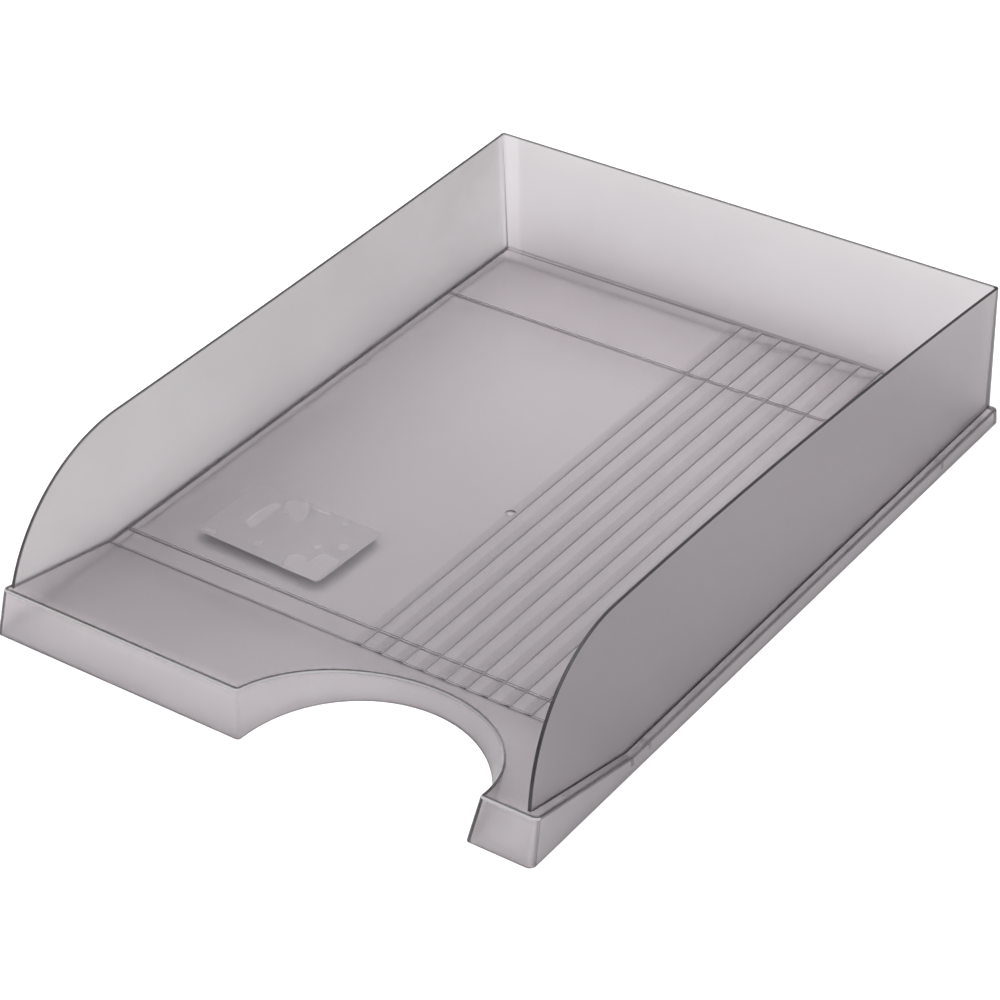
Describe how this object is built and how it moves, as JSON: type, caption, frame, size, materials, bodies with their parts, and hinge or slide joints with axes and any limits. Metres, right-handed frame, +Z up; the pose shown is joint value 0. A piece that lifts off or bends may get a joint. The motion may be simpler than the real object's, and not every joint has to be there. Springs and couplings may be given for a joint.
{
  "type": "letter tray",
  "caption": "Open-front letter tray in translucent smoke-grey plastic, with high leaning walls, a ridged floor, a front ramp and a round thumb cut-out.",
  "frame": {"origin": "centre of the footprint on the table", "axes": "+Y to the closed back, -Y to the open front with the thumb cut-out, +Z up, +X to the right seen from the front"},
  "size_m": [0.253, 0.337, 0.065],
  "materials": {
    "smoke_plastic": "translucent smoke-grey polystyrene, smooth inside, fine matt texture outside",
    "label_paper": "blank matt paper label with glue bubbles"
  },
  "bodies": {
    "root": {"floor_panel": "smoke_plastic", "front_ramp": "smoke_plastic", "left_ledge": "smoke_plastic", "right_ledge": "smoke_plastic", "left_skirt": "smoke_plastic", "right_skirt": "smoke_plastic", "back_skirt": "smoke_plastic", "thumb_cutout_wall": "smoke_plastic", "apron_left": "smoke_plastic", "apron_right": "smoke_plastic", "right_wall_front": "smoke_plastic", "right_wall_middle": "smoke_plastic", "right_wall_rear": "smoke_plastic", "left_wall_front": "smoke_plastic", "left_wall_middle": "smoke_plastic", "left_wall_rear": "smoke_plastic", "back_wall": "smoke_plastic", "grip_ridges": "smoke_plastic", "front_cross_rib": "smoke_plastic", "middle_cross_rib": "smoke_plastic", "rear_cross_rib": "smoke_plastic", "label": "label_paper"}
  },
  "joints": []
}
